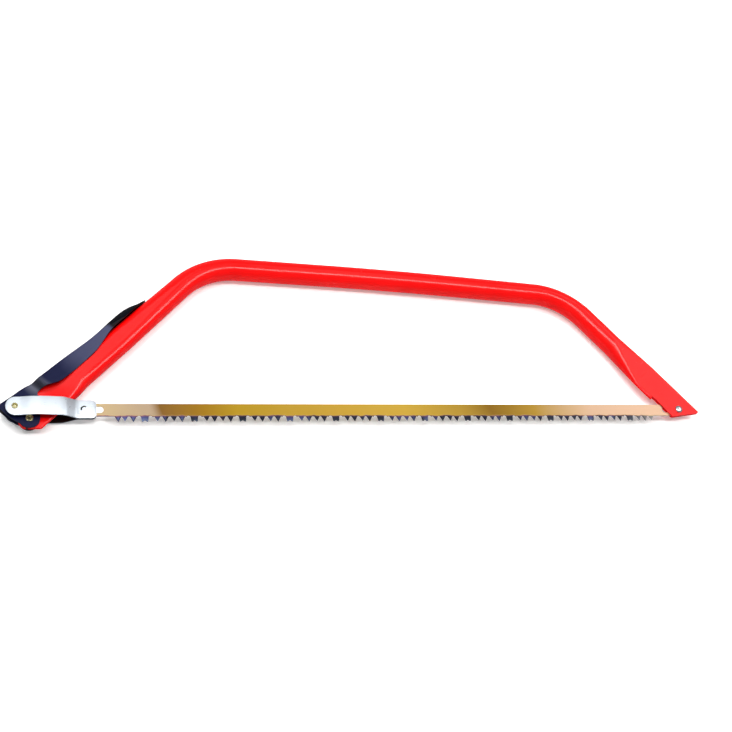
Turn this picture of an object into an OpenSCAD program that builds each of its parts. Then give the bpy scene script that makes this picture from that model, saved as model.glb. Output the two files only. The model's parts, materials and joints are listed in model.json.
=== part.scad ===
// Bow saw: a bent steel tube, a tensioning lever, a pair of link straps and a 24 inch blade.
// The saw lies on its side. +X runs along the blade from the lever to the front end, +Y runs
// from the blade to the top bar and +Z is the saw's front side.
// Every part is drawn in the saw plane, whose origin is the blade's rear peg and whose z = 0 is
// the middle of the blade's thickness. on_table() then moves it to the shared frame.

/* [Blade] */
// Distance from the rear peg to the front pin
blade_span = 607; // [600:1:614]
// Height of the blade's top edge over the line through its pins
blade_top = 6; // [5.5:0.1:6.5]
// Depth of the gullets under the line through the pins
blade_gullet = 6.5; // [6:0.1:7]
// Depth of the tooth tips under the line through the pins
blade_tip = 12; // [11:0.1:12.5]
// Thickness of the blade
blade_t = 0.8; // [0.7:0.05:0.9]
// Length of one group of teeth: four cutters and a raker
group_pitch = 45; // [45:1:45]
// Number of rakers
raker_count = 12; // [10:1:12]
// Place of the first raker, measured from the rear peg
first_raker = 53.5; // [53:0.5:55]

/* [Frame tube] */
// Radius of the round tube
tube_r = 11; // [11:0.1:11.4]
// Wall of the tube
tube_wall = 1.2; // [1:0.1:1.3]
// Radius of both bends, at the tube's middle
bend_r = 75; // [65:1:80]
// Radius of the slight arch of the top bar
arch_r = 5000; // [4000:100:5500]
// Angle of the rear leg, from the blade
rear_angle = 45; // [45:1:45]
// Angle of the front leg, from the blade
front_angle = 52; // [52:1:52]
// Height of the corner between the rear leg and the top bar
rear_corner_y = 156; // [154:1:158]
// Place and height of the middle of the top bar
bar_middle = [310, 148.5];
// Height of the corner between the top bar and the front leg
front_corner_y = 135; // [134:1:136]
// Half the thickness of the rear leg where it is pressed flat for the lever's ears
rear_flat_b = 1.7; // [1.6:0.05:1.7]
// Half the thickness of the rear leg where the lever's grip straddles it
grip_b = 8.3; // [8:0.1:8.3]

/* [Lever] */
// Place of the lever's pivot
pivot = [-47.5, -9.6];
// Thickness of the lever's sheet
lever_t = 1.5; // [1.2:0.1:1.5]
// Half the outer width of the lever at its ears
ear_half = 3.5; // [3.5:0.05:3.6]
// Half the outer width of the lever's grip
grip_half = 10.2; // [10.2:0.1:10.6]
// Radius of the ears round the pivot
ear_r = 9.2; // [8.8:0.1:9.6]

/* [Link] */
// Place of the rivet that joins the link to the lever
link_pin = [-60, 0];
// Half the height of a strap
strap_half = 9; // [8.5:0.1:9]
// Thickness of a strap
strap_t = 1.2; // [1:0.1:1.2]
// Height of a strap's inner face over the middle plane, at the lever
strap_high = 7.2; // [7.1:0.1:7.3]
// Height of a strap's inner face over the middle plane, where it passes over the frame
strap_mid = 9.2; // [9.1:0.1:9.3]
// Height of a strap's inner face over the middle plane, at the blade
strap_low = 0.7; // [0.7:0.05:0.8]

/* [Pins and rivets] */
// Radius of the lever's pivot rivet
pivot_r = 2.4; // [2.3:0.05:2.5]
// Radius of the link's rivet
link_r = 2; // [1.9:0.05:2.1]
// Radius of the front blade pin
front_pin_r = 2.85; // [2.8:0.05:2.85]
// Radius of the peg that holds the blade's rear end
peg_r = 2; // [1.9:0.1:2]
// Radial running clearance of every pin in its hole
running = 0.06; // [0.04:0.01:0.1]

/* [Hidden] */
$fn = 64;
far = 60;

// Colours
paint_red = [0.86, 0.09, 0.08];
paint_navy = [0.08, 0.09, 0.19];
zinc = [0.82, 0.87, 0.9];
lacquer_gold = [0.78, 0.62, 0.4];
rivet_brass = [0.62, 0.58, 0.36];
steel = [0.75, 0.76, 0.78];

// ---- Points, arcs and smooth curves ----

function arc(centre, r, from, to, steps = 8) =
    [for (i = [0:steps]) let (a = from + (to - from) * i / steps)
        centre + r * [cos(a), sin(a)]];

function reverse(list) = [for (i = [len(list) - 1:-1:0]) list[i]];

function ease(t) = let (c = min(max(t, 0), 1)) c * c * (3 - 2 * c);

function blend_point(a, b, c, d, t) =
    0.5 * (2 * b + (c - a) * t + (2 * a - 5 * b + 4 * c - d) * t * t
           + (3 * b - a - 3 * c + d) * t * t * t);

// A smooth curve through the points, with so many steps between each two
function curve(pts, steps = 5) = [
    for (i = [0:len(pts) - 2], j = [0:steps - 1])
        blend_point(pts[max(i - 1, 0)], pts[i], pts[i + 1], pts[min(i + 2, len(pts) - 1)],
                    j / steps),
    pts[len(pts) - 1]];

// ---- The tube's route in the saw plane ----

function toward(angle) = [cos(angle), sin(angle)];

// The pivot lies on the leg's middle line, and the front pin a little inside its own
front_pin_inset = 1.2;
rear_foot = pivot;
front_foot = [blade_span, 0] - front_pin_inset * toward(270 - front_angle);
rear_corner = rear_foot + toward(rear_angle) * (rear_corner_y - rear_foot[1]) / sin(rear_angle);
front_corner = front_foot
    + toward(180 - front_angle) * (front_corner_y - front_foot[1]) / sin(front_angle);
rear_slope = atan2(bar_middle[1] - rear_corner[1], bar_middle[0] - rear_corner[0]);
front_slope = atan2(front_corner[1] - bar_middle[1], front_corner[0] - bar_middle[0]);
rear_turn = rear_angle - rear_slope;
arch_turn = rear_slope - front_slope;
front_turn = front_angle + front_slope;
rear_tangent = bend_r * tan(rear_turn / 2);
arch_tangent = arch_r * tan(arch_turn / 2);
front_tangent = bend_r * tan(front_turn / 2);
rear_leg_l = norm(rear_corner - rear_foot) - rear_tangent;
rear_bend_centre = rear_corner - toward(rear_angle) * rear_tangent
    + bend_r * toward(rear_angle - 90);

// ---- Stations along the legs, measured from the pivot or from the front pin ----

rear_flat_u = 27;
grip_from_u = 60;
grip_to_u = 116;
front_flat_u = 50;
front_round_u = 96;
front_flat_b = strap_low + tube_wall;
front_half = half_width(front_flat_b);

// Half the width of a section whose girth is the round tube's and whose half thickness is b
function half_width(b) = b + (tube_r - b) * PI / 2;

// ---- The cut ends of the legs, in each leg's own frame ----

rear_end_r = 9.8;
rear_end_cut = 8.6;
rear_end_u = 20;
rivet_relief = [16, 14];
// The pressed rear leg widens outward only, so its inner edge stays this far from the pivot line
rear_inner_v = 13.8;
inner_edge = 13.2;
notch_u = 30;
notch_r = 2.4;
notch_mouth = [24, 12.4];
corner_r = 3;
corner_centre = [1, 10.5];
tip_r = 2.2;
tip_centre = [-14.5, tip_r - front_half];

// ---- The lever's outline, from its pivot: along the leg, and out from it ----

nose_centre = [-8.8, 25];
nose_r = 2.5;
ear_shoulder = [[-10.2, 5.8], [-11.2, 13]];
nose_root = [-11.3, 21];
spine_bow = [[-7.5, 27.7], [4.5, 26.2], [17.4, 24.8], [32.2, 21.2], [61.2, 19.4], [88.2, 17.2],
             [104.2, 16.9], [120.2, 18.6], [135.2, 19.8], [146.2, 18.2], [155.2, 15.4],
             [164.2, 14]];
flange_bow = [[26.7, 12.8], [31, 11], [42.2, 5.6], [56.2, 4.2], [74.2, 4.1], [88.2, 4.8],
              [100.2, 7.3], [112.2, 10.2], [124.2, 11], [138.2, 10.8], [151.2, 11.8],
              [164.2, 12.5]];
ear_neck_centre = [24.3, 10.2];
ear_neck_r = 3;
lever_l = 164.2;
joggle_from = 22;
joggle_to = 34;
tongue_from = 133.2;
tongue_l = 31.5;

// ---- The shared frame: origin under the middle of the whole saw ----

x_min = pivot[0] + nose_centre[0] * cos(rear_angle) - nose_centre[1] * sin(rear_angle) - nose_r;
x_max = front_foot[0] - tip_centre[0] * cos(front_angle) - tip_centre[1] * sin(front_angle) + tip_r;
y_min = pivot[1] - ear_r;
y_max = rear_bend_centre[1] + bend_r + tube_r;

module on_table() {
    translate([-(x_min + x_max) / 2, -(y_min + y_max) / 2, tube_r]) children();
}

module at_rear_leg() {
    translate([rear_foot[0], rear_foot[1], 0]) rotate([0, 0, rear_angle]) children();
}

module at_front_leg() {
    translate([front_foot[0], front_foot[1], 0]) rotate([0, 0, 180 - front_angle]) children();
}

module at_pivot() {
    translate([pivot[0], pivot[1], 0]) children();
}

module at_link_pin() {
    translate([link_pin[0], link_pin[1], 0]) children();
}

module at_front_pin() {
    translate([blade_span, 0, 0]) children();
}

module through(r) {
    translate([0, 0, -far]) cylinder(r = r, h = 2 * far);
}

module slab(low, high) {
    translate([0, 0, low]) linear_extrude(high - low) children();
}

// A straight slot between two places on the X axis
module slot(from, to, r) {
    translate([from, 0]) circle(r);
    translate([to, 0]) circle(r);
    translate([from, -r]) square([to - from, 2 * r]);
}

// ---- Frame tube ----
// The tube is one sweep along its route. Where it is pressed flat its girth stays the same, so
// its section there is a slot shape, and a round section is that shape with no straight part.

// A station: place on the route, heading, and half the tube's thickness there
function leg_stations(foot, angle, heights, turned = 0, inner_v = far) =
    [for (h = heights) [
        foot + toward(angle) * h[0] + toward(angle + 90) * max(half_width(h[1]) - inner_v, 0),
        angle + turned, h[1]]];

function taper(u0, b0, u1, b1, steps) =
    [for (i = [1:steps]) [u0 + (u1 - u0) * i / steps, b0 + (b1 - b0) * i / steps]];

// A bend to the right that starts at a point and a heading
function bend_stations(start, heading, radius, angle, steps) =
    let (centre = start + radius * toward(heading - 90))
    [for (i = [0:steps]) let (h = heading - angle * i / steps)
        [centre + radius * toward(h + 90), h, tube_r]];

function rear_leg_stations(end) = leg_stations(rear_foot, rear_angle, concat(
    [[end, rear_flat_b], [rear_flat_u, rear_flat_b]],
    taper(rear_flat_u, rear_flat_b, grip_from_u, grip_b, 6),
    taper(grip_to_u, grip_b, rear_leg_l - 4, tube_r, 6)), 0, rear_inner_v);

function front_leg_stations(end) = leg_stations(front_foot, 180 - front_angle, concat(
    reverse(taper(front_flat_u, front_flat_b, front_round_u, tube_r, 6)),
    [[front_flat_u, front_flat_b], [end, front_flat_b]]), 180);

function route(rear_end, front_end) = concat(
    rear_leg_stations(rear_end),
    bend_stations(rear_corner - toward(rear_angle) * rear_tangent, rear_angle, bend_r,
                  rear_turn, 10),
    bend_stations(bar_middle - toward(rear_slope) * arch_tangent, rear_slope, arch_r,
                  arch_turn, 3),
    bend_stations(front_corner - toward(front_slope) * front_tangent, front_slope, bend_r,
                  front_turn, 10),
    front_leg_stations(front_end));

section_points = 30;

function section_point(station, wall, i) =
    let (a = 360 * (i + 0.5) / section_points,
         b = station[2],
         straight = half_width(b) - b,
         side = sign(cos(a)) * straight + (b - wall) * cos(a),
         place = station[0] + side * toward(station[1] + 90))
    [place[0], place[1], (b - wall) * sin(a)];

module sweep(stations, wall) {
    n = section_points;
    last = len(stations) - 1;
    points = [for (s = stations, i = [0:n - 1]) section_point(s, wall, i)];
    sides = [for (k = [0:last - 1], i = [0:n - 1])
        let (j = (i + 1) % n) each [
            [k * n + i, (k + 1) * n + j, k * n + j],
            [k * n + i, (k + 1) * n + i, (k + 1) * n + j]]];
    ends = [[for (i = [0:n - 1]) i], [for (i = [n - 1:-1:0]) last * n + i]];
    polyhedron(points, concat(sides, ends));
}

// The rear leg's end: round the pivot, cut off level under it, and clear of the link's rivet
module rear_end_outline() {
    difference() {
        polygon(concat(
            arc([0, 0], rear_end_r, 110, 225),
            [[-2, -far], [far, -far], [far, far], [rivet_relief[0], far], rivet_relief]));
        rotate(-rear_angle) translate([-far, -far - rear_end_cut]) square([2 * far, far]);
    }
}

// The front leg's end: its inner fold is cut away below a notch, to let the blade in
module front_end_outline() {
    clear = front_half + 1;
    polygon(concat(
        [[far, clear], [notch_u, clear]],
        arc([notch_u, inner_edge + notch_r], notch_r, 180, 270),
        [notch_mouth],
        arc(corner_centre, corner_r, 90, 150),
        arc(tip_centre, tip_r, 160, 270),
        [[far, -clear]]));
}

module outside(limit) {
    slab(-far, far) difference() {
        translate([-far, -far]) square([far + limit, 2 * far]);
        children();
    }
}

module frame_tube() {
    color(paint_red) on_table() difference() {
        sweep(route(-rear_end_r - 2, tip_centre[0] - tip_r - 1), 0);
        sweep(route(-rear_end_r - 4, tip_centre[0] - tip_r - 3), tube_wall);
        at_rear_leg() outside(rear_end_u) rear_end_outline();
        at_front_leg() outside(front_flat_u - 5) front_end_outline();
        at_pivot() through(pivot_r + running);
        at_front_pin() through(front_pin_r + running);
    }
}

// ---- Tension lever ----

module lever_side() {
    ear = arc([0, 0], ear_r, 165, 320, 16);
    neck = arc(ear_neck_centre, ear_neck_r, 110, 200, 4);
    polygon(concat(
        curve(spine_bow),
        reverse(curve(flange_bow)),
        neck,
        reverse(ear),
        ear_shoulder,
        [nose_root],
        arc(nose_centre, nose_r, 190, 125, 4)));
}

// The space under the spine, open towards the frame and behind the ears
module lever_hollow_side() {
    inner_spine = [for (p = curve(spine_bow)) if (p[0] < lever_l - 3) p - [0, lever_t]];
    tongue_mouth = [[lever_l - 2, 12.5], [lever_l + 5, 9.6], [lever_l + 5, -far]];
    open_back = [[-far, -far], [-far, 20], nose_root + [1.8, 0], nose_root + [1, 4]];
    polygon(concat(inner_spine, tongue_mouth, open_back));
}

// Half the lever's width along its length: narrow ears, a joggle, the grip and a round tongue
function lever_half(u) = u < tongue_from
    ? ear_half + (grip_half - ear_half) * ease((u - joggle_from) / (joggle_to - joggle_from))
    : grip_half * sqrt(max(1 - pow((u - tongue_from) / tongue_l, 2), 0));

module lever_plan(inset) {
    stations = concat([-far], [for (i = [0:6]) joggle_from + (joggle_to - joggle_from) * i / 6],
        [for (i = [0:16]) tongue_from + tongue_l * sin(90 * i / 16)]);
    half = [for (u = stations) if (lever_half(u) > inset) [u, lever_half(u) - inset]];
    rotate([90, 0, 0]) linear_extrude(4 * far, center = true)
        polygon(concat(half, [for (p = reverse(half)) [p[0], -p[1]]]));
}

module lever_body() {
    difference() {
        intersection() {
            slab(-far, far) lever_side();
            lever_plan(0);
        }
        intersection() {
            slab(-far, far) lever_hollow_side();
            lever_plan(lever_t);
        }
    }
}

module tension_lever() {
    color(paint_navy) on_table() difference() {
        at_pivot() rotate([0, 0, rear_angle]) lever_body();
        at_pivot() through(pivot_r + running);
        at_link_pin() through(link_r + running);
    }
}

// ---- Link straps ----

strap_from = link_pin[0] - 8;
strap_to = 10.5;
strap_corner_r = 4;
// A strap's inner face from the lever to the blade: it bulges over the frame, then steps down
strap_bow = [[-2 * far, strap_high], [-56, strap_high], [-46, strap_mid - 0.1],
             [-38, strap_mid], [-20, 8.1], [-17.5, 7.4], [-7.5, 1.2], [-5.5, strap_low],
             [far, strap_low]];

module strap_outline() {
    r = strap_corner_r;
    polygon(concat(
        arc([strap_from + strap_half, 0], strap_half, 90, 270, 24),
        arc([strap_to - r, r - strap_half], r, 270, 360),
        arc([strap_to - r, strap_half - r], r, 0, 90)));
}

module strap_profile() {
    polygon(concat(strap_bow, [for (p = reverse(strap_bow)) p + [0, strap_t]]));
}

module strap() {
    difference() {
        intersection() {
            slab(-far, far) strap_outline();
            rotate([90, 0, 0]) linear_extrude(2 * far, center = true) strap_profile();
        }
        at_link_pin() through(link_r + running);
    }
}

// The peg is a half-moon tongue, cut free round its upper rear side and set inward
module link_front_strap() {
    cut_w = 1.4;
    peg_low = 0.05 - strap_low;
    peg_high = strap_low + 0.4;
    color(zinc) on_table() {
        difference() {
            strap();
            slab(strap_low - 0.2, strap_low + strap_t + 0.2) difference() {
                intersection() {
                    circle(peg_r + cut_w);
                    polygon([[0, 0], far * toward(55), far * toward(130), far * toward(205)]);
                }
                circle(peg_r);
            }
        }
        slab(peg_low, peg_high) circle(peg_r);
    }
}

module link_rear_strap() {
    color(zinc) on_table() mirror([0, 0, 1]) strap();
}

// ---- Blade ----

rear_slot = [-6.6, 13.8];
rear_slot_r = 3.3;
front_slot_l = 16;
front_slot_r = front_pin_r + 0.1;
blade_from = -12;
blade_past_pin = 8;
blade_corner = 2;
cutter_offsets = [11.25, 18.75, 26.25, 33.75];
cutter_half = 3;
raker_half = 5.2;
raker_gullet_r = 1.8;
raker_gullet_y = -blade_gullet - 1.1;

// One cutter: a plain triangle with a filed gullet on each side of it
function cutter(x) = [[x - cutter_half, -blade_gullet], [x, -blade_tip],
                      [x + cutter_half, -blade_gullet]];

// One raker: a fish-tail between two deep round gullets
fish_tail = [[-2.9, 0.8], [-2.2, 0], [0, 1.6], [2.2, 0], [2.9, 0.8]];

function raker(x) = concat(
    arc([x - raker_half, raker_gullet_y], raker_gullet_r, 160, 20, 6),
    [for (p = fish_tail) [x, -blade_tip] + p],
    arc([x + raker_half, raker_gullet_y], raker_gullet_r, 160, 20, 6));

lead_cutters = [29.6, 35.6, 43.2];
last_cutters = [9.9, 17.6, 24.3];

function tooth_row() = concat(
    [for (x = lead_cutters) each cutter(x)],
    [for (k = [0:raker_count - 1]) let (x = first_raker + group_pitch * k) each concat(
        raker(x),
        [for (o = k < raker_count - 1 ? cutter_offsets : last_cutters) each cutter(x + o)])]);

module saw_blade() {
    right = blade_span + blade_past_pin;
    c = blade_corner;
    color(lacquer_gold) on_table() slab(-blade_t / 2, blade_t / 2) difference() {
        polygon(concat(
            [[blade_from + 3.5, blade_top], [blade_from, blade_top - 3],
             [blade_from, c - blade_gullet], [blade_from + c, -blade_gullet]],
            tooth_row(),
            [[right - c, -blade_gullet], [right, c - blade_gullet], [right, blade_top - c],
             [right - c, blade_top]]));
        slot(rear_slot[0], rear_slot[1], rear_slot_r);
        slot(blade_span - front_slot_l, blade_span, front_slot_r);
    }
}

// ---- Rivets, pins and rings ----

// Gap between faces that would rub
play = 0.05;

// A semi-tubular rivet: a low dome behind, and a rolled rim round a hollow in front
module rivet(shank_r, grip, head_r, head_h) {
    seat = grip + play;
    rim = head_r * 0.2;
    hollow = 1.2;
    rotate_extrude() polygon(concat(
        [[0, -seat - head_h]],
        [for (a = [15:15:90]) [head_r * sin(a), -seat - head_h * cos(a)]],
        [[shank_r, -seat], [shank_r, seat], [head_r, seat]],
        [for (a = [30:30:180]) [head_r - rim + rim * cos(a), seat + head_h * sin(a)]],
        [[head_r - 2 * rim, seat - hollow], [0, seat - hollow]]));
}

module pivot_rivet() {
    color(rivet_brass) on_table() at_pivot() rivet(pivot_r, ear_half, 3.5, 1.1);
}

module link_rivet() {
    color(rivet_brass) on_table() at_link_pin()
        rivet(link_r, strap_high + strap_t, 2.9, 1);
}

module washer(outer, inner, low, high) {
    slab(low, high) difference() {
        circle(outer);
        circle(inner);
    }
}

// The sleeve between the lever's sides keeps the rivet from squeezing them together
module link_spacer() {
    sleeve_r = 3.6;
    inner_half = ear_half - lever_t - play;
    color(steel) on_table() at_link_pin()
        washer(sleeve_r, link_r + running, -inner_half, inner_half);
}

module link_washers() {
    washer_r = 4.5;
    color(zinc) on_table() at_link_pin() for (side = [0, 1]) mirror([0, 0, side])
        washer(washer_r, link_r + running, ear_half + play, strap_high - play);
}

ring_r = 8;
ring_wire_r = 0.7;
ring_z = -front_flat_b - 1.4;
ring_hole_r = 1.1;
ring_direction = 80;
// How far the ring's wire lies off the middle of its hole
ring_sag = 0.26;

module front_pin() {
    dome_r = 4;
    dome_h = 2;
    edge = 0.6;
    seat = front_flat_b + play;
    tail = ring_z - 2.6;
    color(steel) on_table() at_front_pin() difference() {
        rotate_extrude() polygon(concat(
            [[0, tail], [front_pin_r - edge, tail], [front_pin_r, tail + edge],
             [front_pin_r, seat], [dome_r, seat], [dome_r, seat + edge]],
            [for (i = [1:8]) let (a = 90 * i / 8)
                [dome_r * cos(a), seat + edge + dome_h * sin(a)]]));
        translate([0, 0, ring_z]) rotate([0, 0, ring_direction]) rotate([90, 0, 0])
            cylinder(r = ring_hole_r, h = far, center = true);
    }
}

module front_pin_ring() {
    color(steel) on_table() at_front_pin() translate([0, 0, ring_z])
        rotate([0, 0, ring_direction]) translate([ring_r - ring_sag, 0, 0])
        rotate_extrude() translate([ring_r, 0]) circle(ring_wire_r);
}

frame_tube();
tension_lever();
link_front_strap();
link_rear_strap();
saw_blade();
pivot_rivet();
link_rivet();
link_spacer();
link_washers();
front_pin();
front_pin_ring();
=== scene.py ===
"""The looks of a bow saw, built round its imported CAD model.

Shapes are drawn in the saw plane, in millimetres: the origin is the blade's rear peg, X runs to
the front pin, Y to the top bar, and z = 0 is the middle of the blade's thickness.
"""

import json
import math

import bmesh
import bpy
from mathutils import Matrix, Vector, geometry


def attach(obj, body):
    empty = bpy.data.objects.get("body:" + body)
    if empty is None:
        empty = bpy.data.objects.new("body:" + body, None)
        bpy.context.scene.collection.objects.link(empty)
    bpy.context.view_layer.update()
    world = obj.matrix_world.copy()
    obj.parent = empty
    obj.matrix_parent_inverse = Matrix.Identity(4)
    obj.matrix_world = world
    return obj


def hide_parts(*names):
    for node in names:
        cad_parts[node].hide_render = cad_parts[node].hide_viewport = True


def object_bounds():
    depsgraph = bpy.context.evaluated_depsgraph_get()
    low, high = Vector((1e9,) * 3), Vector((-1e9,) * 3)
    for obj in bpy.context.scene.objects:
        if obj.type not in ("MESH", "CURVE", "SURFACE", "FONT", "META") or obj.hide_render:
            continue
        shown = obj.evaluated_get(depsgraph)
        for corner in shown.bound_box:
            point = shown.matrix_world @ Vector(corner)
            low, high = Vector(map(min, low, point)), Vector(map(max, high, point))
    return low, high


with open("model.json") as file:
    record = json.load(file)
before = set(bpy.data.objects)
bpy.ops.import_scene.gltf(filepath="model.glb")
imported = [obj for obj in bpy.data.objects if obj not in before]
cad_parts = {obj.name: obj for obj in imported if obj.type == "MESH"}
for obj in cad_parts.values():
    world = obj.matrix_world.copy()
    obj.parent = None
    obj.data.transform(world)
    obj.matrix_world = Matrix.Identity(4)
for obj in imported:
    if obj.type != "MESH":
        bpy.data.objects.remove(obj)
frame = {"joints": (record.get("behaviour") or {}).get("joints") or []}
CAD_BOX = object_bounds()
JOINTS = {j["name"]: Vector(j["pos_m"]) for j in frame["joints"]}

MM = 0.001
BLADE_SPAN = 607
FRONT_PIN_AT = JOINTS["blade_swing"]
ORIGIN = FRONT_PIN_AT - Vector((BLADE_SPAN * MM, 0, 0))


def in_saw_plane(point):
    """A point of the row frame, in millimetres from the blade's rear peg."""
    return (point - ORIGIN) / MM


# ---- Camera ----

CAMERA_FROM_PIN = Vector((-0.68901, -0.48691, 0.98900))
CAMERA_RIGHT = Vector((0.95393, -0.13207, 0.26941))
CAMERA_UP = Vector((-0.01149, 0.88116, 0.47267))
CAMERA_LENS = 59.016

camera = bpy.data.objects.new("camera", bpy.data.cameras.new("camera"))
bpy.context.scene.collection.objects.link(camera)
camera.data.lens = CAMERA_LENS
camera.data.sensor_width = 36
camera.data.clip_start = 0.05
camera.data.clip_end = 20
back = CAMERA_RIGHT.cross(CAMERA_UP).normalized()
camera.matrix_world = Matrix.Translation(FRONT_PIN_AT + CAMERA_FROM_PIN) @ Matrix(
    (CAMERA_RIGHT, CAMERA_UP, back)).transposed().to_4x4()
bpy.context.scene.camera = camera


# ---- Mesh helpers ----

def new_object(name, vertices, faces):
    mesh = bpy.data.meshes.new(name)
    mesh.from_pydata([tuple(v) for v in vertices], [], faces)
    mesh.validate()
    piece = bpy.data.objects.new(name, mesh)
    bpy.context.scene.collection.objects.link(piece)
    return piece


def fix_normals(piece):
    shape = bmesh.new()
    shape.from_mesh(piece.data)
    bmesh.ops.remove_doubles(shape, verts=shape.verts, dist=1e-5)
    bmesh.ops.recalc_face_normals(shape, faces=shape.faces)
    shape.to_mesh(piece.data)
    shape.free()


def apply_modifiers(piece):
    shown = piece.evaluated_get(bpy.context.evaluated_depsgraph_get())
    mesh = bpy.data.meshes.new_from_object(shown)
    piece.modifiers.clear()
    piece.data = mesh


def combine(piece, tool, operation):
    """Cuts a piece with a tool, or keeps what they share. The tool goes."""
    modifier = piece.modifiers.new("combine", "BOOLEAN")
    modifier.operation = operation
    modifier.solver = "EXACT"
    modifier.object = tool
    apply_modifiers(piece)
    bpy.data.objects.remove(tool)


def settle(piece, body, nodes, material, sharp=32):
    """Brings a finished piece from millimetres to the row frame, and puts it on its body."""
    piece.data.transform(Matrix.Translation(ORIGIN) @ Matrix.Scale(MM, 4))
    piece.data.shade_smooth()
    piece.data.set_sharp_from_angle(angle=math.radians(sharp))
    piece.data.materials.clear()
    piece.data.materials.append(material)
    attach(piece, body)
    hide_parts(*nodes)
    return piece


def prism(name, outline, low, high, place=Matrix.Identity(4)):
    """An outline in X and Y, between two heights."""
    n = len(outline)
    vertices = [place @ Vector((p[0], p[1], z)) for z in (low, high) for p in outline]
    sides = [(i, (i + 1) % n, n + (i + 1) % n, n + i) for i in range(n)]
    piece = new_object(name, vertices, sides + [tuple(range(n))[::-1], tuple(range(n, 2 * n))])
    fix_normals(piece)
    return piece


def loft(name, rings, closed=False, hollow=None):
    """A skin over rings of points. Inner rings in hollow make it a tube with cut ends."""
    n = len(rings[0])
    vertices = [p for ring in rings for p in ring]
    faces = []

    def skin(first, count, flip):
        for k in range(count if closed else count - 1):
            for i in range(n):
                j, m = (i + 1) % n, (k + 1) % count
                face = (first + k * n + i, first + m * n + i, first + m * n + j, first + k * n + j)
                faces.append(face[::-1] if flip else face)

    skin(0, len(rings), False)
    if hollow:
        inner = len(vertices)
        vertices += [p for ring in hollow for p in ring]
        skin(inner, len(hollow), True)
        last_outer, last_inner = (len(rings) - 1) * n, inner + (len(hollow) - 1) * n
        for i in range(n):
            j = (i + 1) % n
            faces.append((j, i, inner + i, inner + j))
            faces.append((last_outer + i, last_outer + j, last_inner + j, last_inner + i))
    elif not closed:
        faces.append(tuple(range(n))[::-1])
        faces.append(tuple(range((len(rings) - 1) * n, len(rings) * n)))
    piece = new_object(name, vertices, faces)
    fix_normals(piece)
    return piece


def lathe(name, profile, centre, steps=64, axis=Matrix.Identity(3)):
    """A profile of radii and heights, turned round an axis. A closed profile makes a ring."""
    on_axis = profile[0][0] == 0 and profile[-1][0] == 0
    rings = []
    for r, z in profile[1:-1] if on_axis else profile:
        rings.append([Vector(centre) + axis @ Vector((r * math.cos(a), r * math.sin(a), z))
                      for a in (math.tau * i / steps for i in range(steps))])
    if not on_axis:
        return loft(name, rings, closed=True)
    ends = [Vector(centre) + axis @ Vector((0, 0, p[1])) for p in (profile[0], profile[-1])]
    n, last = steps, (len(rings) - 1) * steps
    vertices = [p for ring in rings for p in ring] + ends
    faces = [(k * n + i, k * n + (i + 1) % n, (k + 1) * n + (i + 1) % n, (k + 1) * n + i)
             for k in range(len(rings) - 1) for i in range(n)]
    faces += [(len(vertices) - 2, (i + 1) % n, i) for i in range(n)]
    faces += [(len(vertices) - 1, last + i, last + (i + 1) % n) for i in range(n)]
    piece = new_object(name, vertices, faces)
    fix_normals(piece)
    return piece


def drill(piece, centre, radius, reach=60, axis=Matrix.Identity(3)):
    tool = lathe("drill", [(0, -reach), (radius, -reach), (radius, reach), (0, reach)], centre,
                 axis=axis)
    combine(piece, tool, "DIFFERENCE")


def toward(angle):
    return Vector((math.cos(math.radians(angle)), math.sin(math.radians(angle))))


def arc(centre, r, start, end, steps=16):
    return [Vector(centre) + r * toward(start + (end - start) * i / steps)
            for i in range(steps + 1)]


def ease(t):
    t = min(max(t, 0), 1)
    return t * t * (3 - 2 * t)


def curve(points, steps=10):
    """A smooth curve through the points."""
    points = [Vector(p) for p in points]
    made = []
    for i in range(len(points) - 1):
        a, b, c = points[max(i - 1, 0)], points[i], points[i + 1]
        d = points[min(i + 2, len(points) - 1)]
        for j in range(steps):
            t = j / steps
            made.append(0.5 * (2 * b + (c - a) * t + (2 * a - 5 * b + 4 * c - d) * t * t
                               + (3 * b - a - 3 * c + d) * t * t * t))
    return made + [points[-1]]


def leg_frame(foot, angle):
    return Matrix.Translation((foot[0], foot[1], 0)) @ Matrix.Rotation(
        math.radians(angle), 4, "Z")


# ---- Driving sizes that the materials need too ----

REAR_ANGLE = 45
BLADE_GULLET = 6.5
BLADE_TIP = 12
# The depth under the line of the pins where the teeth's hardening begins to show
HARD_FROM = 4.6


# ---- Materials ----

def ramp(node, *stops):
    """Sets a colour ramp's stops: place, and a colour or a grey."""
    elements = node.color_ramp.elements
    while len(elements) > 1:
        elements.remove(elements[-1])
    for i, (at, value) in enumerate(stops):
        element = elements[0] if i == 0 else elements.new(at)
        element.position = at
        colour = value if isinstance(value, tuple) else (value, value, value)
        element.color = (*colour, 1)


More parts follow.
